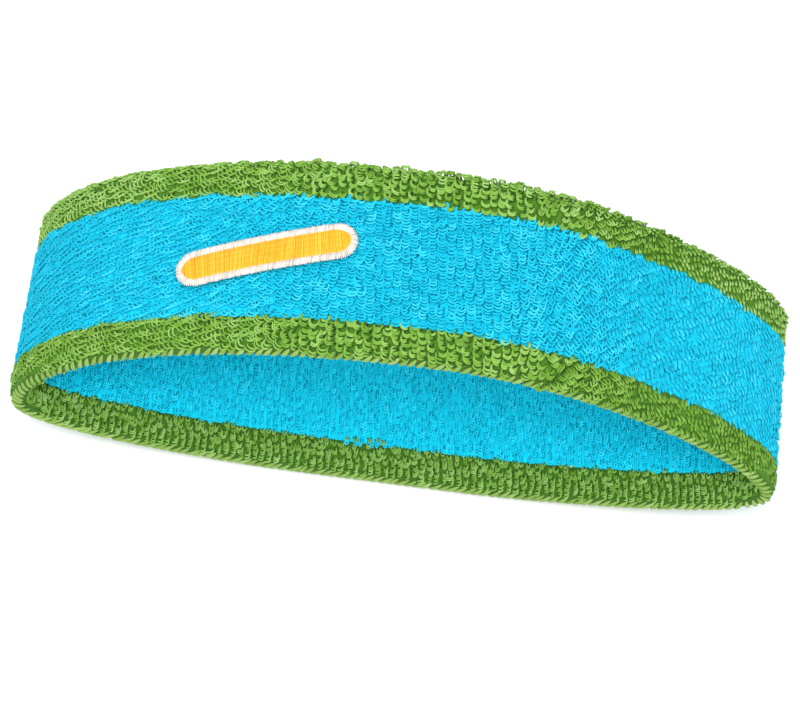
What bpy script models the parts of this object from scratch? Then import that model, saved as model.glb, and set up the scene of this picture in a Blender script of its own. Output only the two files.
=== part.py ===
"""Sports headband: a terry tube of two layers, folded at its upper rim and linked shut at its lower rim.

The band lies on its back wall. +Z points up out of the front wall, +X runs along the length, and the
axis of the head opening runs along Y, with the lower rim at -Y. Every layer is one section swept
round the same closed plan, so all the walls stay parallel. Sizes are in metres.
"""

import math

import bmesh
import bpy
from mathutils import Matrix, Vector

MM = 0.001

# Band.
BAND_HEIGHT = 50.0 * MM  # upper rim to lower rim, a two-inch band
HALF_WALL = 2.8 * MM  # from the middle of the wall to its outer or inner face
HALF_CAVITY = 0.9 * MM  # half of the space between the two layers, where the elastic runs
UPPER_STRIPE = 10.0 * MM  # height of the upper stripe, fold included
LOWER_STRIPE = 8.6 * MM  # height of the lower stripe, seam included
GAP = 0.3 * MM  # between pieces that touch

# Plan of the wall's middle line, seen along the head's axis: (x, z) and the two handle lengths.
REST_HEIGHT = HALF_WALL  # the back wall's middle line, when its outer face is at z = 0
REST_LEFT = -22.0 * MM  # the back wall is flat between these two
REST_RIGHT = 18.0 * MM
CROWN = (9.0 * MM, 64.0 * MM)
LEFT_END = (-88.0 * MM, 19.0 * MM)
RIGHT_END = (88.0 * MM, 20.0 * MM)
CROWN_LEFT_HANDLE = 72.0 * MM
CROWN_RIGHT_HANDLE = 39.0 * MM
LEFT_FRONT_HANDLE = 14.0 * MM
RIGHT_FRONT_HANDLE = 13.0 * MM
END_BACK_HANDLE = 12.0 * MM
REST_HANDLE = 16.0 * MM
PLAN_STEPS = 12  # per span of the plan

# Linking seam, a flat chain over the joined edges of the two layers.
SEAM_HALF_WIDTH = 2.7 * MM
SEAM_HEIGHT = 1.3 * MM
SEAM_SIDES = 10

# Elastic: rings laid in between the layers.
THREAD_COUNT = 10
THREAD_RADIUS = 0.3 * MM
THREAD_OFFSET = -0.25 * MM  # towards the head
THREAD_SPAN = 41.0 * MM  # first ring to last
THREAD_SIDES = 6

# Emblem: a plain rounded bar, embroidered on the front wall.
EMBLEM_X = -33.0 * MM
EMBLEM_Y = -1.0 * MM
EMBLEM_SLANT = math.radians(14.0)
EMBLEM_LENGTH = 41.0 * MM
EMBLEM_WIDTH = 9.0 * MM
BORDER_WIDTH = 1.5 * MM
EMBLEM_THICKNESS = 0.8 * MM
BACKING_MARGIN = 2.0 * MM  # backing past the border
BACKING_INNER = 0.35 * MM  # from the wall's middle line
BACKING_THICKNESS = 0.25 * MM
CAPSULE_STEPS = 10  # round each end

UPPER_RIM = BAND_HEIGHT / 2
LOWER_RIM = -BAND_HEIGHT / 2
UPPER_BOUNDARY = UPPER_RIM - UPPER_STRIPE
LOWER_BOUNDARY = LOWER_RIM + LOWER_STRIPE
FOLD_BASE = UPPER_RIM - HALF_WALL
LAYER_FOOT = LOWER_RIM + SEAM_HEIGHT + 0.2 * MM


def clear_scene():
    for obj in list(bpy.data.objects):
        bpy.data.objects.remove(obj, do_unlink=True)


def new_collection(name):
    collection = bpy.data.collections.new(name)
    bpy.context.scene.collection.children.link(collection)
    return collection


def new_material(name, colour, roughness):
    material = bpy.data.materials.new(name)
    material.use_nodes = True
    shader = material.node_tree.nodes["Principled BSDF"]
    shader.inputs["Base Color"].default_value = (*colour, 1.0)
    shader.inputs["Roughness"].default_value = roughness
    shader.inputs["Metallic"].default_value = 0.0
    material.diffuse_color = (*colour, 1.0)
    return material


def plan_points():
    """The plan's corner points in order, each with the handle before it and the handle after it."""
    right, up = Vector((1, 0)), Vector((0, 1))
    crown, left_end, right_end = Vector(CROWN), Vector(LEFT_END), Vector(RIGHT_END)
    rest_right, rest_left = Vector((REST_RIGHT, REST_HEIGHT)), Vector((REST_LEFT, REST_HEIGHT))
    along = right * (REST_RIGHT - REST_LEFT) / 3
    return [
        (crown, crown - right * CROWN_LEFT_HANDLE, crown + right * CROWN_RIGHT_HANDLE),
        (right_end, right_end + up * RIGHT_FRONT_HANDLE, right_end - up * END_BACK_HANDLE),
        (rest_right, rest_right + right * REST_HANDLE, rest_right - along),
        (rest_left, rest_left + along, rest_left - right * REST_HANDLE),
        (left_end, left_end - up * END_BACK_HANDLE, left_end + up * LEFT_FRONT_HANDLE),
    ]


def new_section(name, points):
    """A closed cross-section. Each point is (distance outwards from the wall's middle line, y)."""
    data = bpy.data.curves.new(name, "CURVE")
    data.dimensions = "2D"
    data.fill_mode = "NONE"
    spline = data.splines.new("POLY")
    spline.points.add(len(points) - 1)
    for point, (outwards, y) in zip(spline.points, reversed(points)):
        point.co = (-outwards, -y, 0.0, 1.0)
    spline.use_cyclic_u = True
    obj = bpy.data.objects.new(name, data)
    obj.hide_render = True
    obj.display_type = "WIRE"
    helpers.objects.link(obj)
    return obj


def swept_ring(name, points, material, collection):
    """A closed ring: the section swept once round the plan, which lies in the XZ plane."""
    data = bpy.data.curves.new(name, "CURVE")
    data.dimensions = "2D"
    data.fill_mode = "NONE"
    data.resolution_u = PLAN_STEPS
    spline = data.splines.new("BEZIER")
    corners = plan_points()
    spline.bezier_points.add(len(corners) - 1)
    for point, (corner, before, after) in zip(spline.bezier_points, corners):
        point.handle_left_type = point.handle_right_type = "FREE"
        point.co = (*corner, 0.0)
        point.handle_left = (*before, 0.0)
        point.handle_right = (*after, 0.0)
    spline.use_cyclic_u = True
    spline.use_smooth = True
    data.bevel_mode = "OBJECT"
    data.bevel_object = new_section(name + "_section", points)
    data.materials.append(material)
    obj = bpy.data.objects.new(name, data)
    obj.rotation_euler = (math.pi / 2, 0.0, 0.0)
    collection.objects.link(obj)
    return obj


def to_mesh_object(obj, material, collection):
    """The same ring as a mesh, which a Boolean can work on."""
    bpy.context.view_layer.update()
    graph = bpy.context.evaluated_depsgraph_get()
    mesh = bpy.data.meshes.new_from_object(obj.evaluated_get(graph))
    name, placed = obj.name, obj.matrix_world.copy()
    bpy.data.objects.remove(obj, do_unlink=True)
    work = bmesh.new()
    work.from_mesh(mesh)
    bmesh.ops.remove_doubles(work, verts=work.verts, dist=0.001 * MM)
    bmesh.ops.recalc_face_normals(work, faces=work.faces)
    work.to_mesh(mesh)
    work.free()
    mesh.materials.clear()
    mesh.materials.append(material)
    result = bpy.data.objects.new(name, mesh)
    result.matrix_world = placed
    collection.objects.link(result)
    return result


def rectangle(inner, outer, low, high):
    return [(inner, low), (outer, low), (outer, high), (inner, high)]


def ellipse(centre_out, centre_y, half_out, half_y, sides):
    turns = [2 * math.pi * (i + 0.5) / sides for i in range(sides)]
    return [(centre_out + half_out * math.cos(t), centre_y + half_y * math.sin(t)) for t in turns]


def fold_section(steps=6):
    """A U that carries the outer layer over the upper rim into the inner layer."""
    turns = [math.pi * i / steps for i in range(steps + 1)]
    over = [(HALF_WALL * math.cos(t), FOLD_BASE + HALF_WALL * math.sin(t)) for t in turns]
    under = [(HALF_CAVITY * math.cos(t), FOLD_BASE + HALF_CAVITY * math.sin(t)) for t in reversed(turns)]
    return over + under


def emblem_frame():
    """Placement of the emblem: its centre on the front wall, local X along it and local Z outwards."""
    corners = plan_points()
    start, first, second, end = corners[4][0], corners[4][2], corners[0][1], corners[0][0]
    low, high = 0.0, 1.0
    for _ in range(40):
        t = (low + high) / 2
        here = start * (1 - t) ** 3 + first * 3 * t * (1 - t) ** 2 + second * 3 * t * t * (1 - t) + end * t**3
        low, high = (t, high) if here.x < EMBLEM_X else (low, t)
    slope = (first - start) * (1 - t) ** 2 + (second - first) * 2 * t * (1 - t) + (end - second) * t * t
    along = Vector((slope.x, 0.0, slope.y)).normalized()
    across = Vector((0.0, 1.0, 0.0))
    out = along.cross(across)
    turn = Matrix((along, across, out)).transposed().to_4x4()
    return Matrix.Translation((here.x, EMBLEM_Y, here.y)) @ turn @ Matrix.Rotation(EMBLEM_SLANT, 4, "Z")


def capsule_cutter(name, length, width):
    """A rounded bar standing through the front wall, to cut emblem pieces out of a shell."""
    radius, reach = width / 2, (length - width) / 2
    outline = []
    for side in (1, -1):
        for i in range(CAPSULE_STEPS + 1):
            turn = -math.pi / 2 + math.pi * i / CAPSULE_STEPS
            outline.append((side * (reach + radius * math.cos(turn)), side * radius * math.sin(turn)))
    data = bpy.data.curves.new(name, "CURVE")
    data.dimensions = "2D"
    data.fill_mode = "BOTH"
    data.extrude = 6.0 * MM
    spline = data.splines.new("POLY")
    spline.points.add(len(outline) - 1)
    for point, (x, y) in zip(spline.points, outline):
        point.co = (x, y, 0.0, 1.0)
    spline.use_cyclic_u = True
    obj = bpy.data.objects.new(name, data)
    obj.matrix_world = emblem_frame()
    helpers.objects.link(obj)
    cutter = to_mesh_object(obj, None, helpers)
    cutter.hide_render = True
    cutter.display_type = "WIRE"
    return cutter


def cut(obj, cutter, operation):
    modifier = obj.modifiers.new(operation.lower(), "BOOLEAN")
    modifier.operation = operation
    modifier.object = cutter
    modifier.solver = "EXACT"


def emblem_piece(name, inner, outer, material, keep, hole=None):
    """A part of a shell parallel to the front wall, inside one cutter and outside another."""
    reach = EMBLEM_WIDTH + EMBLEM_LENGTH * math.sin(EMBLEM_SLANT)
    section = rectangle(inner, outer, EMBLEM_Y - reach, EMBLEM_Y + reach)
    shell = to_mesh_object(swept_ring(name, section, material, headband), material, headband)
    shell.name = name
    cut(shell, keep, "INTERSECT")
    if hole:
        cut(shell, hole, "DIFFERENCE")
    return shell


clear_scene()
headband = new_collection("sports_headband")
helpers = new_collection("helpers")

GREEN, BLUE = (0.17, 0.40, 0.05), (0.0, 0.50, 0.80)
outer_green = new_material("outer_green_terry", GREEN, 0.95)
outer_blue = new_material("outer_blue_terry", BLUE, 0.95)
inner_green = new_material("inner_green_terry", GREEN, 0.95)
inner_blue = new_material("inner_blue_terry", BLUE, 0.95)
fold_green = new_material("fold_green_terry", GREEN, 0.95)
seam_green = new_material("seam_olive_yarn", (0.13, 0.30, 0.04), 0.90)
elastic = new_material("covered_elastic", (0.80, 0.80, 0.78), 0.60)
border_white = new_material("white_embroidery_thread", (0.90, 0.88, 0.86), 0.45)
fill_orange = new_material("orange_embroidery_thread", (1.0, 0.45, 0.03), 0.40)
backing_white = new_material("bobbin_thread_backing", (0.85, 0.85, 0.83), 0.80)

# The two layers, each knitted in three stripes.
LAYERS = {
    "outer": (HALF_CAVITY, HALF_WALL, outer_green, outer_blue),
    "inner": (-HALF_WALL, -HALF_CAVITY, inner_green, inner_blue),
}
for layer, (inner, outer, green, blue) in LAYERS.items():
    stripes = (
        ("upper_stripe", UPPER_BOUNDARY + GAP / 2, FOLD_BASE - GAP, green),
        ("centre_stripe", LOWER_BOUNDARY + GAP / 2, UPPER_BOUNDARY - GAP / 2, blue),
        ("lower_stripe", LAYER_FOOT, LOWER_BOUNDARY - GAP / 2, green),
    )
    for stripe, low, high, material in stripes:
        swept_ring(f"{layer}_{stripe}", rectangle(inner, outer, low, high), material, headband)

# The rims.
swept_ring("upper_rim_fold", fold_section(), fold_green, headband)
seam_middle = LOWER_RIM + SEAM_HEIGHT / 2
seam = ellipse(0.0, seam_middle, SEAM_HALF_WIDTH, SEAM_HEIGHT / 2, SEAM_SIDES)
swept_ring("lower_linking_seam", seam, seam_green, headband)

# The elastic.
for number in range(THREAD_COUNT):
    y = THREAD_SPAN * (number / (THREAD_COUNT - 1) - 0.5)
    ring = ellipse(THREAD_OFFSET, y, THREAD_RADIUS, THREAD_RADIUS, THREAD_SIDES)
    swept_ring(f"elastic_thread_{number + 1:02d}", ring, elastic, headband)

# The emblem.
whole = capsule_cutter("emblem_outline", EMBLEM_LENGTH, EMBLEM_WIDTH)
inside = capsule_cutter("border_inside", EMBLEM_LENGTH - 2 * BORDER_WIDTH, EMBLEM_WIDTH - 2 * BORDER_WIDTH)
shrink = 2 * (BORDER_WIDTH + GAP)
filling = capsule_cutter("fill_outline", EMBLEM_LENGTH - shrink, EMBLEM_WIDTH - shrink)
grow = 2 * BACKING_MARGIN
patch = capsule_cutter("backing_outline", EMBLEM_LENGTH + grow, EMBLEM_WIDTH + grow)
foot = HALF_WALL + GAP
top = foot + EMBLEM_THICKNESS
emblem_piece("emblem_border", foot, top, border_white, whole, inside)
emblem_piece("emblem_fill", foot, top, fill_orange, filling)
backing_outer = BACKING_INNER + BACKING_THICKNESS
emblem_piece("emblem_backing", BACKING_INNER, backing_outer, backing_white, patch)
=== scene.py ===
"""Sports headband in looped terry, lying on its back wall: pile, ground fabric, linking seam and embroidery.

The walls repeat the CAD plan: one closed curve in the XZ plane, with the band's height along Y. A place on
the band is (s, out, y): s along the wall's middle line, out from it towards the outer face, and y. Down the
fabric, g is measured from the top of the fold, along the knitted face to the lower rim.
"""

import math

import bpy
import numpy as np
from mathutils import Matrix, Vector


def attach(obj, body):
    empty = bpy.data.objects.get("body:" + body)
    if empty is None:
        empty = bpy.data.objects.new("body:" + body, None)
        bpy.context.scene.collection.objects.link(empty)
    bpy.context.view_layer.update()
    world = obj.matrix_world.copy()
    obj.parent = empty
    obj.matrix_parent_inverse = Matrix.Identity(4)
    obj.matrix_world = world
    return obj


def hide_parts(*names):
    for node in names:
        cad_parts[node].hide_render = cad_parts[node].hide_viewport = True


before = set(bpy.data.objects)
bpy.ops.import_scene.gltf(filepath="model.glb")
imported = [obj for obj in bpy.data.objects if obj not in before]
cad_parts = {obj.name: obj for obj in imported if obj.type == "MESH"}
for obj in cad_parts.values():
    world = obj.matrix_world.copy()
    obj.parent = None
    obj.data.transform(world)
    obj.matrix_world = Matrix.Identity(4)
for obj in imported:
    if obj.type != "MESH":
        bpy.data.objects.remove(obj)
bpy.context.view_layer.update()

MM = 0.001

# The band and its plan, as in the CAD model.
BAND_HEIGHT = 50.0 * MM
HALF_WALL = 2.8 * MM
HALF_CAVITY = 0.9 * MM
UPPER_STRIPE = 10.0 * MM
LOWER_STRIPE = 8.6 * MM
GAP = 0.3 * MM
REST_LEFT, REST_RIGHT, REST_HEIGHT = -22.0 * MM, 18.0 * MM, HALF_WALL
CROWN, LEFT_END, RIGHT_END = (9.0 * MM, 64.0 * MM), (-88.0 * MM, 19.0 * MM), (88.0 * MM, 20.0 * MM)
CROWN_LEFT_HANDLE, CROWN_RIGHT_HANDLE = 72.0 * MM, 39.0 * MM
LEFT_FRONT_HANDLE, RIGHT_FRONT_HANDLE, END_BACK_HANDLE = 14.0 * MM, 13.0 * MM, 12.0 * MM
REST_HANDLE = 16.0 * MM
SEAM_HEIGHT = 1.3 * MM
EMBLEM_X, EMBLEM_Y, EMBLEM_SLANT = -33.0 * MM, -1.0 * MM, math.radians(14.0)
EMBLEM_LENGTH, EMBLEM_WIDTH, BORDER_WIDTH = 41.0 * MM, 9.0 * MM, 1.5 * MM

UPPER_RIM, LOWER_RIM = BAND_HEIGHT / 2, -BAND_HEIGHT / 2
UPPER_BOUNDARY = UPPER_RIM - UPPER_STRIPE
LOWER_BOUNDARY = LOWER_RIM + LOWER_STRIPE
FOLD_BASE = UPPER_RIM - HALF_WALL
LAYER_FOOT = LOWER_RIM + SEAM_HEIGHT + 0.2 * MM

# The ground fabric: its two faces, from the wall's middle line, and how it turns over and under the rims.
GROUND_OUT, GROUND_BACK = 1.55 * MM, HALF_CAVITY + 0.05 * MM
GROUND_RIB = 0.10 * MM
STRIPE_JOIN = 0.05 * MM
FOLD_QUARTER = GROUND_OUT * np.pi / 2
FOOT_BASE = LOWER_RIM + 1.9 * MM
FOOT_RADIUS = 1.3 * MM
FOOT_START = FOLD_QUARTER + FOLD_BASE - FOOT_BASE

# The knitting. A course is closer over the fold, because the pile fans out there.
OUTER_WALES, OUTER_COURSE, OUTER_FOLD_COURSE = 196, 1.5 * MM, 0.62 * MM
INNER_WALES, INNER_COURSE, INNER_FOLD_COURSE = 226, 1.3 * MM, 0.8 * MM
OUTER_SCATTER, INNER_SCATTER = (0.14 * MM, 0.26 * MM), (0.09 * MM, 0.20 * MM)  # of a stitch, along s and g
WALE_SCATTER = 0.4 * MM  # of a whole wale, along g
SKEW = 0.11  # how far a wale runs along the band for each step down it: the tube was knitted round and round
SAMPLES_PER_WALE = 4
HANG = 0.8 * MM  # a loop shows this far below its root
OUTER_YARN, OUTER_RINGS = 0.25 * MM, 8  # radius of a loop's yarn, and the rings of points along it
INNER_YARN, INNER_RINGS = 0.225 * MM, 7
LOOP_SQUARENESS, LOOP_BULGE, LOOP_CURL = 0.65, 0.35, 2.15

# The linked lower rim.
RIM_OUT, RIM_DOWN, RIM_MIDDLE = 1.80 * MM, 1.10 * MM, LOWER_RIM + 1.25 * MM
CORE_INSET, STITCH_INSET, PLY_SHIFT = 0.35 * MM, 0.15 * MM, 0.22 * MM

# The embroidery, which stands on a foot just clear of the wall.
EMBROIDERY_FOOT = HALF_WALL + GAP
FILL_THREAD, FILL_PITCH, FILL_UNDER_BORDER, FILL_LEAN = 0.225 * MM, 0.36 * MM, 0.3 * MM, 0.25
BORDER_THREAD, BORDER_PITCH, BORDER_LEAN = 0.20 * MM, 0.37 * MM, 0.35

UPPER, CENTRE, LOWER, FOLD = range(4)  # stripe numbers
QUARTERS = ("front_right", "back_right", "back_left", "front_left")
FIRST_QUARTER = -6.0 * MM  # just left of the crown, so that the two front quarters hold much the same

rng = np.random.default_rng(20)


def ramp(value, start, end):
    """0 up to start, 1 from end on, and straight between them."""
    return np.clip((value - start) / (end - start), 0, 1)


# ---------------------------------------------------------------- the wall


def plan_table(steps=400):
    """Arc length, points and tangents of the plan, as (x, z)."""
    right, up = np.array((1.0, 0.0)), np.array((0.0, 1.0))
    crown, left_end, right_end = map(np.array, (CROWN, LEFT_END, RIGHT_END))
    rest_right, rest_left = np.array((REST_RIGHT, REST_HEIGHT)), np.array((REST_LEFT, REST_HEIGHT))
    along = right * (REST_RIGHT - REST_LEFT) / 3
    corners = [
        (crown, crown - right * CROWN_LEFT_HANDLE, crown + right * CROWN_RIGHT_HANDLE),
        (right_end, right_end + up * RIGHT_FRONT_HANDLE, right_end - up * END_BACK_HANDLE),
        (rest_right, rest_right + right * REST_HANDLE, rest_right - along),
        (rest_left, rest_left + along, rest_left - right * REST_HANDLE),
        (left_end, left_end - up * END_BACK_HANDLE, left_end + up * LEFT_FRONT_HANDLE),
    ]
    t = (np.arange(steps) / steps)[:, None]
    spans = []
    for here, there in zip(corners, corners[1:] + corners[:1]):
        p, q, r, w = here[0], here[2], there[1], there[0]
        spans.append(p * (1 - t) ** 3 + 3 * q * t * (1 - t) ** 2 + 3 * r * t * t * (1 - t) + w * t**3)
    points = np.concatenate(spans + [spans[0][:1]])
    length = np.concatenate([[0.0], np.cumsum(np.linalg.norm(np.diff(points, axis=0), axis=1))])
    even = np.linspace(0.0, length[-1], 5 * steps + 1)
    points = np.stack([np.interp(even, length, points[:, i]) for i in (0, 1)], 1)
    tangents = np.roll(points[:-1], -1, 0) - np.roll(points[:-1], 1, 0)
    tangents /= np.linalg.norm(tangents, axis=1)[:, None]
    tangents = np.concatenate([tangents, tangents[:1]])
    return even, points, tangents


PLAN_S, PLAN_POINTS, PLAN_TANGENTS = plan_table()
GIRTH = PLAN_S[-1]


def along_plan(table, s):
    return np.stack([np.interp(np.mod(s, GIRTH), PLAN_S, table[:, i]) for i in (0, 1)], -1)


def s_of_x(x):
    """Where the front wall's middle line passes x."""
    in_front = PLAN_POINTS[:, 1] > 20 * MM
    near = np.where(in_front, np.abs(PLAN_POINTS[:, 0] - x), np.inf)
    return PLAN_S[np.argmin(near)]


def on_back(s, height=14 * MM):
    """Where the wall is the back one, that the band lies on, up to a height above the floor."""
    return along_plan(PLAN_POINTS, s)[..., 1] < height


def wall_frame(s):
    """Points of the middle line at s, with the directions along the wall and outwards, in 3-D."""
    point, tangent = along_plan(PLAN_POINTS, s), along_plan(PLAN_TANGENTS, s)
    tangent /= np.linalg.norm(tangent, axis=-1, keepdims=True)
    zero = np.zeros(point.shape[:-1])
    here = np.stack([point[..., 0], zero, point[..., 1]], -1)
    along = np.stack([tangent[..., 0], zero, tangent[..., 1]], -1)
    outwards = np.stack([-tangent[..., 1], zero, tangent[..., 0]], -1)
    return here, along, outwards


def place(s, out, y):
    """3-D points of (s, out, y), whose arrays broadcast."""
    s, out, y = np.broadcast_arrays(s, out, y)
    here, _, outwards = wall_frame(s)
    points = here + outwards * out[..., None]
    points[..., 1] += y
    return points


def fabric_point(g):
    """(out, y) at g, and the directions out of the fabric and down it.

    g runs over the fold, down the wall, and round the rim at the foot."""
    turn = np.clip(g / FOLD_QUARTER, -1, 1) * np.pi / 2
    foot = np.clip((g - FOOT_START) / FOOT_RADIUS, 0, np.pi / 2)
    out = GROUND_OUT * np.sin(turn) - FOOT_RADIUS * (1 - np.cos(foot))
    y = FOLD_BASE + GROUND_OUT * np.cos(turn) - np.clip(g - FOLD_QUARTER, 0, FOLD_BASE - FOOT_BASE)
    y = y - FOOT_RADIUS * np.sin(foot)
    turn = turn + foot
    normal = np.stack([np.sin(turn), np.cos(turn)], -1)
    down = np.stack([np.cos(turn), -np.sin(turn)], -1)
    return out, y, normal, down


# ---------------------------------------------------------------- meshes


def new_mesh_object(name, points, corners, counts, material, tone, height):
    """A smooth mesh object from flat arrays: corner vertex numbers and the number of corners of each face.

    tone and height are what the yarn's material reads: a loop's tone, and 0 at its root to 1 at its top."""
    mesh = bpy.data.meshes.new(name)
    mesh.vertices.add(len(points))
    mesh.vertices.foreach_set("co", np.ascontiguousarray(points, np.float32).ravel())
    mesh.loops.add(len(corners))
    mesh.loops.foreach_set("vertex_index", np.ascontiguousarray(corners, np.int32))
    mesh.polygons.add(len(counts))
    starts = np.concatenate([[0], np.cumsum(counts)[:-1]]).astype(np.int32)
    mesh.polygons.foreach_set("loop_start", starts)
    mesh.polygons.foreach_set("use_smooth", np.ones(len(counts), bool))
    for key, values in (("tone", tone), ("height", height)):
        layer = mesh.attributes.new(key, "FLOAT", "POINT")
        layer.data.foreach_set("value", np.ascontiguousarray(values, np.float32))
    mesh.materials.append(material)
    mesh.update(calc_edges=True)
    mesh.validate()
    obj = bpy.data.objects.new(name, mesh)
    bpy.context.scene.collection.objects.link(obj)
    return obj


def new_tubes(name, centres, across, radius, material, tone, sides=5, depth=None):
    """Yarns as closed tubes. centres is (yarn, ring, 3), across a direction that no yarn runs along."""
    yarns, rings = centres.shape[:2]
    tangent = np.gradient(centres, axis=1)
    tangent /= np.linalg.norm(tangent, axis=2, keepdims=True)
    if across.ndim == 2:
        across = np.repeat(across[:, None], rings, 1)
    side = np.cross(tangent, across)
    side /= np.linalg.norm(side, axis=2, keepdims=True)
    other = np.cross(side, tangent)
    radius = np.broadcast_to(radius, (yarns, rings))
    turn = 2 * np.pi * np.arange(sides) / sides
    ring = side[:, :, None] * np.cos(turn)[:, None] + other[:, :, None] * np.sin(turn)[:, None]
    points = (centres[:, :, None] + ring * radius[:, :, None, None]).reshape(-1, 3)

    row = np.arange(rings - 1)[:, None] * sides
    k = np.arange(sides)[None]
    nxt = (k + 1) % sides
    quads = np.stack([row + k, row + nxt, row + sides + nxt, row + sides + k], -1).reshape(-1)
    caps = np.concatenate([np.arange(sides)[::-1], (rings - 1) * sides + np.arange(sides)])
    one = np.concatenate([quads, caps])
    counts = np.concatenate([np.full(len(quads) // 4, 4), np.full(2, sides)])
    corners = (one[None] + (np.arange(yarns) * rings * sides)[:, None]).ravel()
    depth = np.ones(rings) if depth is None else depth
    obj = new_mesh_object(name, points, corners, np.tile(counts, yarns), material,
                          np.repeat(tone, rings * sides), np.tile(np.repeat(depth, sides), yarns))
    yarn_uv(obj, centres, yarns, rings, sides)
    return obj


def yarn_uv(obj, centres, yarns, rings, sides):
    """A UV map with u once round each yarn and v along it in millimetres, for the twist of its plies."""
    step = np.linalg.norm(np.diff(centres, axis=1), axis=2)
    v = np.concatenate([np.zeros((yarns, 1)), np.cumsum(step, 1)], 1) / MM
    k = np.arange(sides)
    u = np.stack([k, k + 1, k + 1, k], -1) / sides
    u = np.broadcast_to(u, (yarns, rings - 1, sides, 4))
    low, high = v[:, :-1, None], v[:, 1:, None]
    v4 = np.broadcast_to(np.stack([low, low, high, high], -1), (yarns, rings - 1, sides, 4))
    body = np.stack([u, v4], -1).reshape(yarns, -1, 2)
    uv = np.concatenate([body, np.zeros((yarns, 2 * sides, 2))], 1)
    layer = obj.data.uv_layers.new(name="yarn")
    layer.data.foreach_set("uv", np.ascontiguousarray(uv, np.float32).ravel())


def new_ring_shell(name, s, out, y, material):
    """A closed ring swept round the band from a closed section. (out, y) broadcast to (len(s), points)."""
    points = place(s[:, None], out, y)
    rings, around = points.shape[:2]
    i = np.arange(rings)[:, None] * around
    j = (np.arange(rings)[:, None] + 1) % rings * around
    k = np.arange(around)[None]
    nxt = (k + 1) % around
    quads = np.stack([i + k, i + nxt, j + nxt, j + k], -1).reshape(-1)
    counts = np.full(rings * around, 4)
    # Height 0 everywhere: the shell takes its yarn's root colour, painted shade for the green and olive yarns
    # and painted light for the outer blue.
    tone, height = np.full(rings * around, 0.5), np.zeros(rings * around)
    return new_mesh_object(name, points.reshape(-1, 3), quads, counts, material, tone, height)


def press_on_floor(obj, depth=1.2 * MM, floor=0.05 * MM, reach=-0.9 * MM):
    """Flattens the pile that the band lies on: heights from reach to depth move to between floor and depth."""
    points = np.empty(len(obj.data.vertices) * 3, np.float32)
    obj.data.vertices.foreach_get("co", points)
    points = points.reshape(-1, 3)
    low = points[:, 2] < depth
    points[low, 2] = floor + ramp(points[low, 2], reach, depth) * (depth - floor)
    obj.data.vertices.foreach_set("co", points.ravel())
    obj.data.update()


def finish_piece(obj, node):
    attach(obj, "root")
    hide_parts(node)
    return obj


# ---------------------------------------------------------------- materials


def new_material(name):
    material = bpy.data.materials.new(name)
    material.use_nodes = True
    return material, material.node_tree, material.node_tree.nodes["Principled BSDF"]


def connect(tree, value, target):
    """Links a socket to the target, or sets the target to a number or colour."""
    if isinstance(value, bpy.types.NodeSocket):
        tree.links.new(value, target)
    else:
        target.default_value = value


def add(tree, kind, **settings):
    """A node, with its properties and inputs set by name; an underscore stands for a space."""
    node = tree.nodes.new(kind)
    for key, value in settings.items():
        if hasattr(node, key):
            setattr(node, key, value)
        else:
            connect(tree, value, node.inputs[key.replace("_", " ")])
    return node


def add_maths(tree, operation, *values, clamp=False):
    node = add(tree, "ShaderNodeMath", operation=operation, use_clamp=clamp)
    for value, target in zip(values, node.inputs):
        connect(tree, value, target)
    return node.outputs["Value"]


def mix_colour(tree, factor, first, second):
    node = add(tree, "ShaderNodeMix", data_type="RGBA")
    for socket, value in (("Factor_Float", factor), ("A_Color", first), ("B_Color", second)):
        connect(tree, value, next(i for i in node.inputs if i.identifier == socket))
    return next(o for o in node.outputs if o.identifier == "Result_Color")


def vary_roughness(tree, shader, noise, roughness):
    rough = add(tree, "ShaderNodeMapRange", Value=noise, To_Min=roughness[0], To_Max=roughness[1])
    tree.links.new(rough.outputs["Result"], shader.inputs["Roughness"])


def bump_surface(tree, shader, height, strength, distance):
    bump = add(tree, "ShaderNodeBump", Strength=strength, Distance=distance, Height=height)
    tree.links.new(bump.outputs["Normal"], shader.inputs["Normal"])


def ply_relief(tree, place_on_object):
    """Height over the yarn's surface: a twist of two plies, with fine fibres on it."""
    yarn = add(tree, "ShaderNodeUVMap", uv_map="yarn")
    twist = add(tree, "ShaderNodeTexWave", wave_type="BANDS", bands_direction="DIAGONAL", Scale=0.45,
                Distortion=1.2, Vector=yarn.outputs["UV"])
    fibre = add(tree, "ShaderNodeTexNoise", Scale=2600.0, Detail=2.0, Vector=place_on_object)
    return add_maths(tree, "MULTIPLY_ADD", fibre.outputs["Fac"], 0.6, twist.outputs["Fac"])


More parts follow.
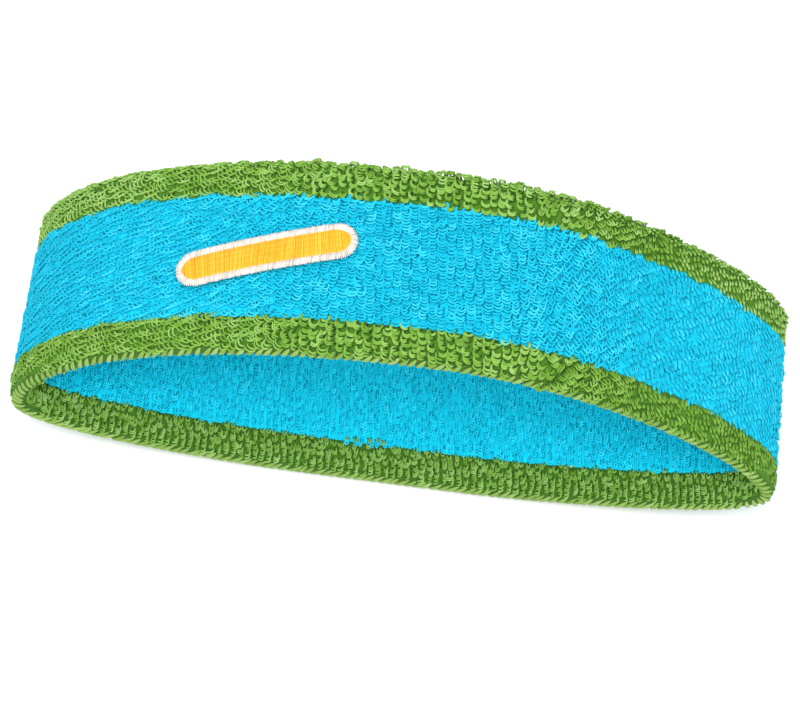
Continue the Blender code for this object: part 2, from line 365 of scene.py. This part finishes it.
def yarn_material(name, dark, middle, light, root, roughness=(0.8, 0.98), sheen=0.15):
    """Spun yarn: a tone for each loop with a mottled dye, the root colour at its root, which the ground fabric
    takes too and which is painted shade, for the outer blue painted light, and its plies.
    """
    material, tree, shader = new_material(name)
    place_on_object = add(tree, "ShaderNodeTexCoord").outputs["Object"]
    tone = add(tree, "ShaderNodeAttribute", attribute_name="tone")
    height = add(tree, "ShaderNodeAttribute", attribute_name="height")
    mottle = add(tree, "ShaderNodeTexNoise", Scale=420.0, Detail=6.0, Roughness=0.75, Vector=place_on_object)
    spread = add_maths(tree, "MULTIPLY_ADD", mottle.outputs["Fac"], 1.2, -0.6)

    share = add_maths(tree, "ADD", tone.outputs["Fac"], spread, clamp=True)
    tones = add(tree, "ShaderNodeValToRGB", Fac=share)
    stops = tones.color_ramp.elements
    stops[0].color, stops[1].color = (*dark, 1.0), (*light, 1.0)
    stops.new(0.5).color = (*middle, 1.0)
    # Painted shade at each loop's root, where the loops shade each other: the tone blends to the root colour
    # as the height falls. The outer blue's root colour is lighter instead: painted light against that shade.
    rise = add(tree, "ShaderNodeMapRange", interpolation_type="SMOOTHSTEP", Value=height.outputs["Fac"],
               From_Max=0.75)
    colour = mix_colour(tree, rise.outputs["Result"], (*root, 1.0), tones.outputs["Color"])
    tree.links.new(colour, shader.inputs["Base Color"])

    vary_roughness(tree, shader, mottle.outputs["Fac"], roughness)
    bump_surface(tree, shader, ply_relief(tree, place_on_object), 0.8, 0.09 * MM)
    shader.inputs["Sheen Weight"].default_value = sheen
    shader.inputs["Sheen Roughness"].default_value = 0.6
    shader.inputs["Sheen Tint"].default_value = (*light, 1.0)
    shader.inputs["Specular IOR Level"].default_value = 0.25
    return material


def wound_material(name, dark, light, roughness, windings):
    """A core wound round with fine thread, for the CAD parts that stay: its windings and a mottled colour."""
    material, tree, shader = new_material(name)
    place_on_object = add(tree, "ShaderNodeTexCoord").outputs["Object"]
    winding = add(tree, "ShaderNodeTexWave", wave_type="BANDS", bands_direction="DIAGONAL", Scale=windings,
                  Distortion=1.5, Vector=place_on_object)
    mottle = add(tree, "ShaderNodeTexNoise", Scale=900.0, Detail=3.0, Vector=place_on_object)
    colour = mix_colour(tree, mottle.outputs["Fac"], (*dark, 1.0), (*light, 1.0))
    tree.links.new(colour, shader.inputs["Base Color"])
    vary_roughness(tree, shader, mottle.outputs["Fac"], roughness)
    bump_surface(tree, shader, winding.outputs["Fac"], 0.6, 0.08 * MM)
    shader.inputs["Specular IOR Level"].default_value = 0.3
    return material


# Each root colour is painted shade, darker than the yarn, for the shade deep between the loops; the ground
# fabric and the seam's core take it too.
GREEN = dict(
    dark=(0.12, 0.27, 0.025), middle=(0.185, 0.365, 0.055), light=(0.27, 0.46, 0.12), root=(0.06, 0.18, 0.01),
)
# The fold's root colour is less dark: less painted shade between the loops that fan out over the fold.
FOLD_GREEN = dict(GREEN, root=(0.12, 0.29, 0.03))
# The outer blue's root colour is lighter than its middle tone: painted light, against the shade between the
# loops.
BLUE = dict(
    dark=(0.0, 0.385, 0.54), middle=(0.002, 0.45, 0.63), light=(0.03, 0.54, 0.74), root=(0.0, 0.49, 0.67),
)
# The inner blue is the blue yarn made lighter: painted light, against the shade inside the band. Its root
# colour is its middle tone.
PAINTED_LIGHT_INNER_BLUE = dict(
    dark=(0.0, 0.52, 0.71), middle=(0.003, 0.62, 0.83), light=(0.02, 0.71, 0.92), root=(0.0, 0.62, 0.82),
)
OLIVE = dict(
    dark=(0.12, 0.24, 0.03), middle=(0.20, 0.34, 0.07), light=(0.30, 0.43, 0.14), root=(0.04, 0.12, 0.01),
)
WHITE = dict(
    dark=(0.46, 0.42, 0.39), middle=(0.62, 0.58, 0.53), light=(0.74, 0.70, 0.65), root=(0.36, 0.32, 0.30),
)
ORANGE = dict(
    dark=(0.76, 0.32, 0.012), middle=(0.82, 0.38, 0.02), light=(0.88, 0.48, 0.05), root=(0.60, 0.22, 0.01),
)

yarn_of = {
    "outer_green": yarn_material("outer_green_terry_yarn", **GREEN),
    "outer_blue": yarn_material("outer_blue_terry_yarn", **BLUE),
    "inner_green": yarn_material("inner_green_terry_yarn", **GREEN),
    "inner_blue": yarn_material("inner_blue_terry_yarn_painted_light", **PAINTED_LIGHT_INNER_BLUE),
    "fold_green": yarn_material("fold_green_terry_yarn", **FOLD_GREEN),
}
seam_olive = yarn_material("linking_yarn", **OLIVE)
white_thread = yarn_material("white_embroidery_yarn", **WHITE, roughness=(0.35, 0.5), sheen=0.1)
orange_thread = yarn_material("orange_embroidery_yarn", **ORANGE, roughness=(0.3, 0.45), sheen=0.1)
covered_elastic = wound_material(
    "covered_elastic_thread", (0.55, 0.55, 0.53), (0.82, 0.82, 0.79), roughness=(0.5, 0.7), windings=700.0,
)
backing_cloth = wound_material(
    "bobbin_backing_cloth", (0.62, 0.62, 0.60), (0.86, 0.86, 0.83), roughness=(0.7, 0.9), windings=450.0,
)


# ---------------------------------------------------------------- pile

emblem_s = s_of_x(EMBLEM_X)
EMBLEM_COS, EMBLEM_SIN = math.cos(EMBLEM_SLANT), math.sin(EMBLEM_SLANT)


def emblem_place(s, y):
    """Places on the front wall near the emblem, as (along its length, across it)."""
    along = np.mod(s - emblem_s + GIRTH / 2, GIRTH) - GIRTH / 2
    up = y - EMBLEM_Y
    return along * EMBLEM_COS + up * EMBLEM_SIN, up * EMBLEM_COS - along * EMBLEM_SIN


def capsule_distance(u, v, length, width):
    """Signed distance to a rounded bar's outline, negative inside it."""
    reach = (length - width) / 2
    return np.hypot(np.maximum(np.abs(u) - reach, 0), v) - width / 2


def drift(s, g, size, seed):
    """A smooth field of about -1 to 1 over the fabric, with features about `size` long."""
    source = np.random.default_rng(seed)
    total = np.zeros(np.broadcast(s, g).shape)
    for _ in range(7):
        turns = np.round(GIRTH / size * source.uniform(0.4, 1.3))
        slope = source.uniform(-2 * np.pi, 2 * np.pi) / size
        total = total + np.sin(2 * np.pi * turns * s / GIRTH + slope * g + source.uniform(0, 6.28))
    return total / 2.6


def pile(s, g, side, width, length, height, turn, rings):
    """Centre lines of loops rooted at (s, g), on side +1 outer or -1 inner.

    Each is `width` wide at the root, hangs `length` down the wall and stands `height` out of it, and is
    turned by `turn` about the direction out of the fabric. Returns them with each loop's cross direction."""
    here, along, outwards = wall_frame(s)
    out, y, normal, down = fabric_point(g)
    yaxis = np.array((0.0, 1.0, 0.0))
    root = here + outwards * (side * out)[:, None]
    root[:, 1] += y
    up3 = outwards * (side * normal[:, 0])[:, None] + yaxis * normal[:, 1:2]
    down3 = outwards * (side * down[:, 0])[:, None] + yaxis * down[:, 1:2]
    lateral = along * np.cos(turn)[:, None] + down3 * np.sin(turn)[:, None]
    drop = down3 * np.cos(turn)[:, None] - along * np.sin(turn)[:, None]
    phase = np.linspace(0.0, np.pi, rings)
    reach = np.sin(phase) ** LOOP_SQUARENESS
    bulge = 1 + LOOP_BULGE * np.sin(phase)
    across = -0.5 * width[:, None] * np.cos(phase) * bulge
    far = length[:, None] * reach
    high = height[:, None] * np.sin(LOOP_CURL * reach)
    centres = (
        root[:, None]
        + lateral[:, None] * across[..., None]
        + drop[:, None] * far[..., None]
        + up3[:, None] * high[..., None]
    )
    plane = np.cross(lateral, drop * length[:, None] + up3 * height[:, None])
    plane /= np.linalg.norm(plane, axis=1)[:, None]
    return centres, plane


def quarter_of(s):
    """0 to 3 round the band from near the crown: the pile is made in quarters."""
    ends = [FIRST_QUARTER, s_of_x(RIGHT_END[0]), GIRTH / 2, s_of_x(LEFT_END[0]), GIRTH + FIRST_QUARTER]
    return np.clip(np.searchsorted(ends, np.mod(s - FIRST_QUARTER, GIRTH) + FIRST_QUARTER, "right") - 1, 0, 3)


def courses_of(pitch, fold_pitch, foot_courses):
    """g of each course: closer together over the fold, because the pile fans out there."""
    fold = np.arange(0.4 * fold_pitch, FOLD_QUARTER, fold_pitch)
    wall = np.arange(fold[-1] + 0.5 * (pitch + fold_pitch), FOOT_START, pitch)
    foot = wall[-1] + pitch * 0.95 * (1 + np.arange(foot_courses))
    return np.concatenate([fold, wall, foot])


# The outer pile changes along the front wall, from arcs lying across their wale to narrow loops that lean.
# Columns: x in millimetres, the loops' twist about the direction out of the fabric in radians, their width,
# length and height, and how far the second loop of a stitch stands beside the first, in millimetres.
FRONT_PILE = np.array((
    (-88, 0.00, 2.05, 0.95, 0.42, 1.05),
    (-62, 0.00, 2.05, 1.00, 0.50, 1.05),
    (-46, 0.05, 1.95, 1.10, 0.62, 0.90),
    (-22, 0.15, 1.78, 1.30, 0.85, 0.20),
    (0, 0.10, 1.78, 1.35, 0.95, 0.00),
    (22, 0.00, 1.68, 1.45, 0.95, 0.00),
    (38, -0.15, 1.15, 1.80, 0.85, 0.45),
    (52, -0.12, 0.40, 2.00, 0.60, 1.00),
    (70, -0.12, 0.26, 1.95, 0.48, 1.05),
    (88, -0.10, 0.26, 1.75, 0.38, 1.05),
))
BACK_PILE = (0.2, 1.70, 1.45, 0.85, 0.0)
GREEN_TWIST = 0.70


def outer_shape(s):
    """Twist, width, length and height of the outer loops at s, and the step to their second loop."""
    point = along_plan(PLAN_POINTS, s)
    x, front = point[..., 0] / MM, ramp(point[..., 1], 6 * MM, 24 * MM)
    columns = [
        front * np.interp(x, FRONT_PILE[:, 0], FRONT_PILE[:, 1 + i]) + (1 - front) * BACK_PILE[i]
        for i in range(len(BACK_PILE))
    ]
    return columns[0], *(c * MM for c in columns[1:])


def stripe_of(level):
    """Stripe number at a height."""
    stripe = np.where(level > UPPER_BOUNDARY, UPPER, np.where(level > LOWER_BOUNDARY, CENTRE, LOWER))
    return np.where(level > FOLD_BASE - HANG - 0.5 * MM, FOLD, stripe)


def beside_other_colour(stripe, course, step):
    """Whether the course one step up from a loop is across a boundary between the green and the blue."""
    above = stripe_of(fabric_point(course - step)[1] - HANG)
    return (above == CENTRE) != (stripe == CENTRE)


def grid(wales, courses, side, scatter):
    """Every stitch of a layer: how many, where (s, g), and the course it belongs to."""
    wale, course = np.meshgrid(np.arange(wales), np.arange(len(courses)), indexing="ij")
    wale, course = wale.ravel(), course.ravel()
    count = len(wale)
    s = (wale + 0.5) * GIRTH / wales + rng.normal(0, scatter[0], count)
    g = courses[course] + rng.normal(0, scatter[1], count)
    g = g + rng.uniform(-WALE_SCATTER, WALE_SCATTER, wales)[wale]
    s = s - side * SKEW * fabric_point(g)[1]
    return count, s, g, courses[course]


def outer_turn(turn, s, g, x, stripe, first, on_fold):
    """How each outer loop is turned, given its place's own twist: the green stripes' loops turn further."""
    green = stripe != CENTRE
    turn = turn + GREEN_TWIST * (green & ~first) * (1 - ramp(x, 20 * MM, 40 * MM))
    turn = turn - SKEW + 0.25 * drift(s, g, 9 * MM, 5) + rng.normal(0, 0.34, len(s))
    return turn + (0.7 * on_fold + 0.2 * green) * rng.normal(0, 1, len(s))


def outer_tone(s, g, x, y, stripe, far_right):
    """The tone of each outer loop: painted light and shade by stripe and place, streaked by wale, and
    drifting.
    """
    # Painted shade darkens the lower stripe, most to the right, and the blue stripe's left end; painted sheen
    # lightens the upper stripe and the fold towards both ends.
    far_left, ends = ramp(-x, 60 * MM, 80 * MM), ramp(np.abs(x), 58 * MM, 76 * MM)
    painted_light_and_shade = (0.10 + 0.3 * far_right) * (stripe == LOWER) + 0.3 * (stripe == CENTRE) * far_left
    painted_light_and_shade = painted_light_and_shade - 0.45 * ((stripe == UPPER) | (stripe == FOLD)) * ends
    wale = ((s + SKEW * y) / GIRTH * OUTER_WALES).astype(int) % OUTER_WALES
    streak = rng.normal(0, 1, OUTER_WALES)[wale] * (0.05 + 0.13 * far_right)
    spread = 0.15 * drift(s, g, 6 * MM, 9) + rng.normal(0, 0.22, len(s))
    return np.clip(0.5 - painted_light_and_shade + streak + spread, 0, 1)


def outer_pile():
    """Every outer loop: s, g, width, length, height, turn, tone, step and rise to its second, and stripe."""
    courses = courses_of(OUTER_COURSE, OUTER_FOLD_COURSE, 1)
    count, s, g, course = grid(OUTER_WALES, courses, 1, OUTER_SCATTER)
    x, y = along_plan(PLAN_POINTS, s)[:, 0], fabric_point(g)[1]
    stripe = stripe_of(fabric_point(course)[1] - HANG)
    first = beside_other_colour(stripe, course, OUTER_COURSE)
    last = beside_other_colour(stripe, course, -OUTER_COURSE)
    on_fold = ramp(y, FOLD_BASE - 0.4 * MM, FOLD_BASE + 1.2 * MM)
    low = on_back(s, 20 * MM) | (np.abs(x) > 82 * MM)
    near_rim = ramp(g, FOOT_START - 3.4 * MM, FOOT_START - 1.4 * MM) * low
    far_right = ramp(x, 25 * MM, 55 * MM)

    turn, width, length, height, step = outer_shape(s)
    width = width * rng.normal(1, 0.15, count) * (1 - 0.25 * on_fold)
    length = np.where(on_fold > 0.1, np.minimum(length, 1.2 * MM), length)
    length = length * rng.normal(1, 0.15, count) * (1 - 0.55 * near_rim)
    height = height * rng.normal(1, 0.24, count) * (1 - 0.3 * near_rim) * np.where(first, 0.7, 1.0)
    height = height * (1 + 0.15 * on_fold * rng.uniform(-1, 1.6, count))
    g = g + (0.2 * first + 0.5 * last) * MM
    turn = outer_turn(turn, s, g, x, stripe, first, on_fold)
    s = s + far_right * rng.normal(0, 0.24 * MM, count)
    tone = outer_tone(s, g, x, y, stripe, far_right)

    # No pile under the emblem, none under the rim where the linking seam shows, and less of it on the fold.
    u, v = emblem_place(s, y - 0.6 * MM)
    under_emblem = capsule_distance(u, v, EMBLEM_LENGTH, EMBLEM_WIDTH) < -0.2 * MM
    keep = ~under_emblem & ~(low & (g > FOOT_START - 0.3 * MM))
    keep &= rng.uniform(0, 1, count) > 0.12 * on_fold

    # At the left the loops lie in rows along the band: the two of a stitch are nearly level.
    in_rows = ramp(-x, 25 * MM, 55 * MM) * np.where(stripe == CENTRE, 0.62, 0.3)
    g = g + in_rows * rng.normal(0, 0.22 * MM, count)
    rise = np.array((0.42, 0.75, 0.42, 0.40))[stripe] * np.where(first, 0.3, 1.0) * (1 - in_rows) * MM
    return [a[keep] for a in (s, g, width, length, height, turn, tone, step, rise, stripe)]


def changed_over(s, course, stripe):
    """Stripe numbers with the knot of the yarn change: on the back wall a few stitches of the boundary's two
    courses are in each other's yarn."""
    x = along_plan(PLAN_POINTS, s)[:, 0]
    here = on_back(s) & (x > -11.0 * MM) & (x < -1.7 * MM)
    level = fabric_point(course)[1] - HANG - LOWER_BOUNDARY
    stripe = np.where(here & (level > 0) & (level < INNER_COURSE), LOWER, stripe)
    return np.where(here & (level <= 0) & (level > -INNER_COURSE), CENTRE, stripe)


def inner_pile():
    """Every inner loop, as outer_pile gives the outer ones: narrower, and arcs near the lower rim."""
    courses = courses_of(INNER_COURSE, INNER_FOLD_COURSE, 1)
    count, s, g, course = grid(INNER_WALES, courses, -1, INNER_SCATTER)
    y = fabric_point(g)[1]
    on_fold = ramp(y, FOLD_BASE - 1.0 * MM, FOLD_BASE + 1.0 * MM)
    on_foot = ramp(g, FOOT_START, FOOT_START + FOOT_RADIUS)
    arc = ramp(-y, 1.5 * MM - LOWER_BOUNDARY, 4.5 * MM - LOWER_BOUNDARY)
    width = (0.75 + 0.30 * arc) * MM * rng.normal(1, 0.20, count)
    length = (1.50 - 0.40 * arc) * MM * rng.normal(1, 0.13, count) * (1 - 0.5 * on_foot)
    height = 0.70 * MM * rng.normal(1, 0.20, count) * (1 + 0.3 * on_fold) * (1 - 0.4 * on_foot)
    turn = SKEW + 0.85 * arc + 0.12 * drift(s, g, 8 * MM, 6) + rng.normal(0, 0.30, count)
    turn = turn + 0.5 * on_fold * rng.normal(0, 1, count)
    tone = np.clip(0.5 + 0.1 * arc + 0.1 * drift(s, g, 6 * MM, 8) + rng.normal(0, 0.19, count), 0, 1)
    stripe = changed_over(s, course, stripe_of(fabric_point(course)[1] - HANG))
    first = beside_other_colour(stripe, course, INNER_COURSE)
    last = beside_other_colour(stripe, course, -INNER_COURSE)
    g = g + 0.3 * MM * first + 0.3 * MM * last
    step = np.zeros(count)
    rise = np.array((0.65, 0.65, 0.45, 0.40))[stripe] * np.where(first, 0.3, 1.0) * MM
    keep = on_back(s) | (on_foot < 0.1)
    return [a[keep] for a in (s, g, width, length, height, turn, tone, step, rise, stripe)]


def strands(name, chosen, material, side, radius, rings):
    """One mesh of loops, two to a stitch: the second is `rise` above the first one and a step beside it."""
    s, g, width, length, height, turn, tone, step, rise = chosen
    radius = radius * np.interp(width / MM, (0.3, 1.1, 1.8, 2.0), (0.70, 0.97, 1.0, 0.84))[:, None]
    centres, planes, tones = [], [], []
    for number in (0, 1):
        reach = height * (1 + 0.1 * number)
        c, p = pile(s + number * step, g - number * rise, side, width, length, reach, turn, rings)
        centres.append(c)
        planes.append(p)
        tones.append(np.clip(tone + rng.normal(0, 0.07, len(tone)), 0, 1))
    # 0 at both ends of each loop, where the material paints its root colour: painted shade, and for the outer
    # blue painted light.
    depth = np.sin(np.linspace(0.0, np.pi, rings))
    obj = new_tubes(name, np.concatenate(centres), np.concatenate(planes), np.tile(radius, (2, 1)), material,
                    np.concatenate(tones), depth=depth)
    press_on_floor(obj)
    return obj


pile_of = {}


def lay_pile(loops, side, layer, prefix, radius, rings):
    """The pile of one layer, in a piece for each stripe and quarter."""
    stripes = (
        (f"{layer}_upper_stripe", f"{layer}_green"),
        (f"{layer}_centre_stripe", f"{layer}_blue"),
        (f"{layer}_lower_stripe", f"{layer}_green"),
        ("upper_rim_fold", "fold_green"),
    )
    quarter = quarter_of(loops[0])
    for number, (node, yarn) in enumerate(stripes):
        for q, where in enumerate(QUARTERS):
            chosen = [a[(loops[-1] == number) & (quarter == q)] for a in loops[:-1]]
            obj = strands(f"{node}_{prefix}pile_{where}", chosen, yarn_of[yarn], side, radius, rings)
            pile_of.setdefault((node, side), []).append(finish_piece(obj, node))


lay_pile(outer_pile(), 1, "outer", "", OUTER_YARN, OUTER_RINGS)
lay_pile(inner_pile(), -1, "inner", "inner_", INNER_YARN, INNER_RINGS)


# ---------------------------------------------------------------- ground fabric


def ground(name, side, low, high, yarn, node):
    """The knitted ground of one stripe: two faces, the outer or inner one of them ribbed along the wales."""
    wales = OUTER_WALES if side > 0 else INNER_WALES
    s = np.arange(wales * SAMPLES_PER_WALE) * GIRTH / (wales * SAMPLES_PER_WALE)
    y = np.linspace(low, high, max(int((high - low) / OUTER_COURSE), 2) + 1)[::side]
    rib = GROUND_RIB * np.cos(2 * np.pi * s * wales / GIRTH)[:, None]
    face = side * (GROUND_OUT + rib + np.zeros(len(y)))
    back = np.full_like(face, side * GROUND_BACK)
    section = np.concatenate([y, y[::-1]])
    obj = new_ring_shell(name, s, np.concatenate([face, back], 1), section, yarn_of[yarn])
    return finish_piece(obj, node)


def fold_ground():
    """The ground fabric folded over the upper rim."""
    s = np.arange(OUTER_WALES * SAMPLES_PER_WALE) * GIRTH / (OUTER_WALES * SAMPLES_PER_WALE)
    turn = np.linspace(0, np.pi, 13)
    out = np.concatenate([GROUND_OUT * np.cos(turn), GROUND_BACK * np.cos(turn[::-1])])
    y = FOLD_BASE + np.concatenate([GROUND_OUT * np.sin(turn), GROUND_BACK * np.sin(turn[::-1])])
    obj = new_ring_shell("upper_rim_ground", s, out, y, yarn_of["fold_green"])
    return finish_piece(obj, "upper_rim_fold")


STRIPE_SPANS = (
    ("upper", UPPER_BOUNDARY + STRIPE_JOIN, FOLD_BASE - STRIPE_JOIN, "green"),
    ("centre", LOWER_BOUNDARY + STRIPE_JOIN, UPPER_BOUNDARY - STRIPE_JOIN, "blue"),
    ("lower", LAYER_FOOT, LOWER_BOUNDARY - STRIPE_JOIN, "green"),
)
for side, layer in ((1, "outer"), (-1, "inner")):
    for where, low, high, colour in STRIPE_SPANS:
        node = f"{layer}_{where}_stripe"
        ground(f"{layer}_{where}_ground", side, low, high, f"{layer}_{colour}", node)
fold_ground()


# ---------------------------------------------------------------- linking seam


def linking_seam():
    """A rounded rim under both layers, and a chain of slanted leaf-shaped stitches round its outer edge."""
    s = np.arange(OUTER_WALES * 2) * GIRTH / (OUTER_WALES * 2)
    turn = 2 * np.pi * np.arange(16) / 16
    out = (RIM_OUT - CORE_INSET) * np.cos(turn)
    y = RIM_MIDDLE + (RIM_DOWN - CORE_INSET) * np.sin(turn)
    core = new_ring_shell("linking_seam_core", s, out, y, seam_olive)
    finish_piece(core, "lower_linking_seam")

    count, rings = OUTER_WALES, 12
    start = (np.arange(count) + 0.5) * GIRTH / count + rng.normal(0, 0.14, count) * MM
    tone = np.clip(rng.normal(0.5, 0.15, count), 0, 1)
    x = along_plan(PLAN_POINTS, start)[:, 0]
    in_front = np.interp(x / MM, (0, 30, 58, 88), (2.6, 2.1, 1.1, 1.0))
    slant = np.where(on_back(start), 3.6, in_front) * MM * rng.normal(1, 0.12, count)
    phase = np.linspace(0, 1, rings)
    angle = np.pi * (0.16 + 0.62 * phase)
    bulge = np.sin(np.pi * phase) ** 0.8
    thick = (0.12 + 0.25 * bulge) * MM
    swell = 1 + 0.10 * bulge
    centres, across, tones = [], [], []
    for shift in (-PLY_SHIFT, PLY_SHIFT):
        where = start[:, None] + slant[:, None] * (0.5 - phase) + shift * bulge
        out = (RIM_OUT - STITCH_INSET) * np.cos(angle) * swell
        y = RIM_MIDDLE - (RIM_DOWN - STITCH_INSET) * np.sin(angle) * swell
        centres.append(place(where, out, y))
        across.append(wall_frame(where)[1])
        tones.append(np.clip(tone + rng.normal(0, 0.06, count), 0, 1))
    radius = np.broadcast_to(thick, (2 * count, rings))
    obj = new_tubes("linking_stitches", np.concatenate(centres), np.concatenate(across), radius, seam_olive,
                    np.concatenate(tones), sides=6)
    press_on_floor(obj)
    finish_piece(obj, "lower_linking_seam")


linking_seam()


# ---------------------------------------------------------------- emblem


def emblem_point(u, v, out):
    """3-D points at (u along, v across) the emblem and out from the wall's middle line."""
    along, up = u * EMBLEM_COS - v * EMBLEM_SIN, u * EMBLEM_SIN + v * EMBLEM_COS
    return place(emblem_s + along, out, EMBLEM_Y + up)


def satin_threads(name, u, v, out, radius, material, node):
    """Threads through rows of (u, v, out) points, as one mesh."""
    points = emblem_point(u, v, out)
    wall_out = wall_frame(np.full(u.shape, emblem_s))[2]
    count = len(u)
    tone = np.clip(rng.normal(0.5, 0.22, count), 0, 1)
    obj = new_tubes(name, points, wall_out, radius, material, tone, sides=6)
    return finish_piece(obj, node)


def satin_fill():
    """Threads laid side by side across the bar, each one crowned, with the ends under the border."""
    reach = EMBLEM_LENGTH / 2 - BORDER_WIDTH + FILL_UNDER_BORDER
    half = EMBLEM_WIDTH / 2 - BORDER_WIDTH + FILL_UNDER_BORDER
    count = int(2 * reach / FILL_PITCH)
    middle = (np.arange(count) + 0.5 - count / 2) * FILL_PITCH
    into_end = np.maximum(np.abs(middle) - (reach - half), 0)
    side = np.sqrt(np.maximum(half**2 - into_end**2, FILL_UNDER_BORDER**2))
    phase = np.linspace(-1, 1, 13)
    v = side[:, None] * phase
    lean = FILL_LEAN * (1 - np.abs(middle) / reach)[:, None]
    u = middle[:, None] + lean * v + rng.normal(0, 0.03, (count, 1)) * MM
    crown = 0.45 + rng.normal(0, 0.035, (count, 1))
    out = EMBROIDERY_FOOT + (0.12 + crown * (1 - np.abs(phase) ** 2.5)) * MM
    return satin_threads("emblem_fill_threads", u, v, out, FILL_THREAD, orange_thread,
                         "emblem_fill")


def bar_outline(t, reach, radius):
    """Points and outward directions at distances t round a rounded bar's outline."""
    straight, bend = 2 * reach, np.pi * radius
    half = np.mod(t, straight + bend)
    w = np.clip(half - straight, 0, None) / radius
    flip = np.where(t < straight + bend, 1.0, -1.0)
    u = np.where(half < straight, half - reach, reach + radius * np.sin(w))
    normal_u = np.where(half < straight, 0.0, np.sin(w))
    normal_v = np.where(half < straight, 1.0, np.cos(w))
    return flip * u, flip * radius * normal_v, flip * normal_u, flip * normal_v


def satin_border():
    """Short threads across the border, all the way round the bar."""
    reach = (EMBLEM_LENGTH - EMBLEM_WIDTH) / 2
    middle = (EMBLEM_WIDTH - BORDER_WIDTH) / 2
    length = 4 * reach + 2 * np.pi * middle
    count = int(length / BORDER_PITCH)
    outline = bar_outline((np.arange(count) + 0.5) / count * length, reach, middle)
    cu, cv, nu, nv = (a[:, None] for a in outline)
    phase = np.linspace(-1, 1, 9)
    half = (BORDER_WIDTH / 2 + 0.05 * MM) * rng.normal(1, 0.07, (count, 1))
    u = cu + (nu + BORDER_LEAN * nv) * half * phase
    v = cv + (nv - BORDER_LEAN * nu) * half * phase
    crown = 0.55 + rng.normal(0, 0.04, (count, 1))
    out = EMBROIDERY_FOOT + (0.10 + crown * np.sqrt(1 - 0.97 * phase**2)) * MM
    return satin_threads("emblem_border_threads", u, v, out, BORDER_THREAD, white_thread,
                         "emblem_border")


satin_fill()
satin_border()

# The CAD bodies that stay, inside the band.
for node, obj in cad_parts.items():
    if node.startswith("elastic_thread") or node == "emblem_backing":
        for place_in in obj.material_slots:
            place_in.material = backing_cloth if node == "emblem_backing" else covered_elastic


# ---------------------------------------------------------------- camera, light and floor


def new_floor():
    data = bpy.data.meshes.new("floor")
    data.from_pydata([(-3, -3, 0), (3, -3, 0), (3, 3, 0), (-3, 3, 0)], [], [(0, 1, 2, 3)])
    floor = bpy.data.objects.new("floor", data)
    bpy.context.scene.collection.objects.link(floor)
    material, tree, shader = new_material("pale_floor")
    shader.inputs["Base Color"].default_value = (0.93, 0.93, 0.93, 1.0)
    shader.inputs["Roughness"].default_value = 0.9
    shader.inputs["Specular IOR Level"].default_value = 0.1
    data.materials.append(material)


def new_softbox(name, at, size, power):
    data = bpy.data.lights.new(name, "AREA")
    data.shape = "DISK"
    data.size = size
    data.energy = power
    light = bpy.data.objects.new(name, data)
    light.location = at
    light.rotation_euler = (Vector((0, 0, 0.03)) - Vector(at)).to_track_quat("-Z", "Y").to_euler()
    bpy.context.scene.collection.objects.link(light)


def new_camera():
    """The photograph's camera: its place, roll, lens and shift were fitted to the band's outline."""
    target = Vector((0.0, 0.0, 0.030))
    elevation, distance, roll = math.radians(62.0), 0.7356, math.radians(7.38)
    data = bpy.data.cameras.new("camera")
    data.lens = 141.45
    data.sensor_width = 36.0
    data.shift_x = -0.0076
    data.shift_y = -0.0228
    data.clip_start = 0.01
    camera = bpy.data.objects.new("camera", data)
    towards = Vector((0.0, -math.cos(elevation), math.sin(elevation)))
    camera.location = target + towards * distance
    facing = (-towards).to_track_quat("-Z", "Y").to_matrix().to_4x4()
    camera.matrix_world = Matrix.Translation(camera.location) @ facing @ Matrix.Rotation(roll, 4, "Z")
    bpy.context.scene.collection.objects.link(camera)
    bpy.context.scene.camera = camera


def new_world():
    world = bpy.data.worlds.new("studio")
    world.use_nodes = True
    background = world.node_tree.nodes["Background"]
    background.inputs["Color"].default_value = (1.0, 1.0, 1.0, 1.0)
    background.inputs["Strength"].default_value = 0.88
    bpy.context.scene.world = world


new_floor()
new_world()
new_softbox("front_softbox", (-0.03, -0.42, 0.84), 0.5, 7.2)
new_softbox("overhead_softbox", (-0.05, 0.10, 0.95), 0.6, 2.0)
new_camera()
bpy.context.scene.view_settings.view_transform = "Standard"
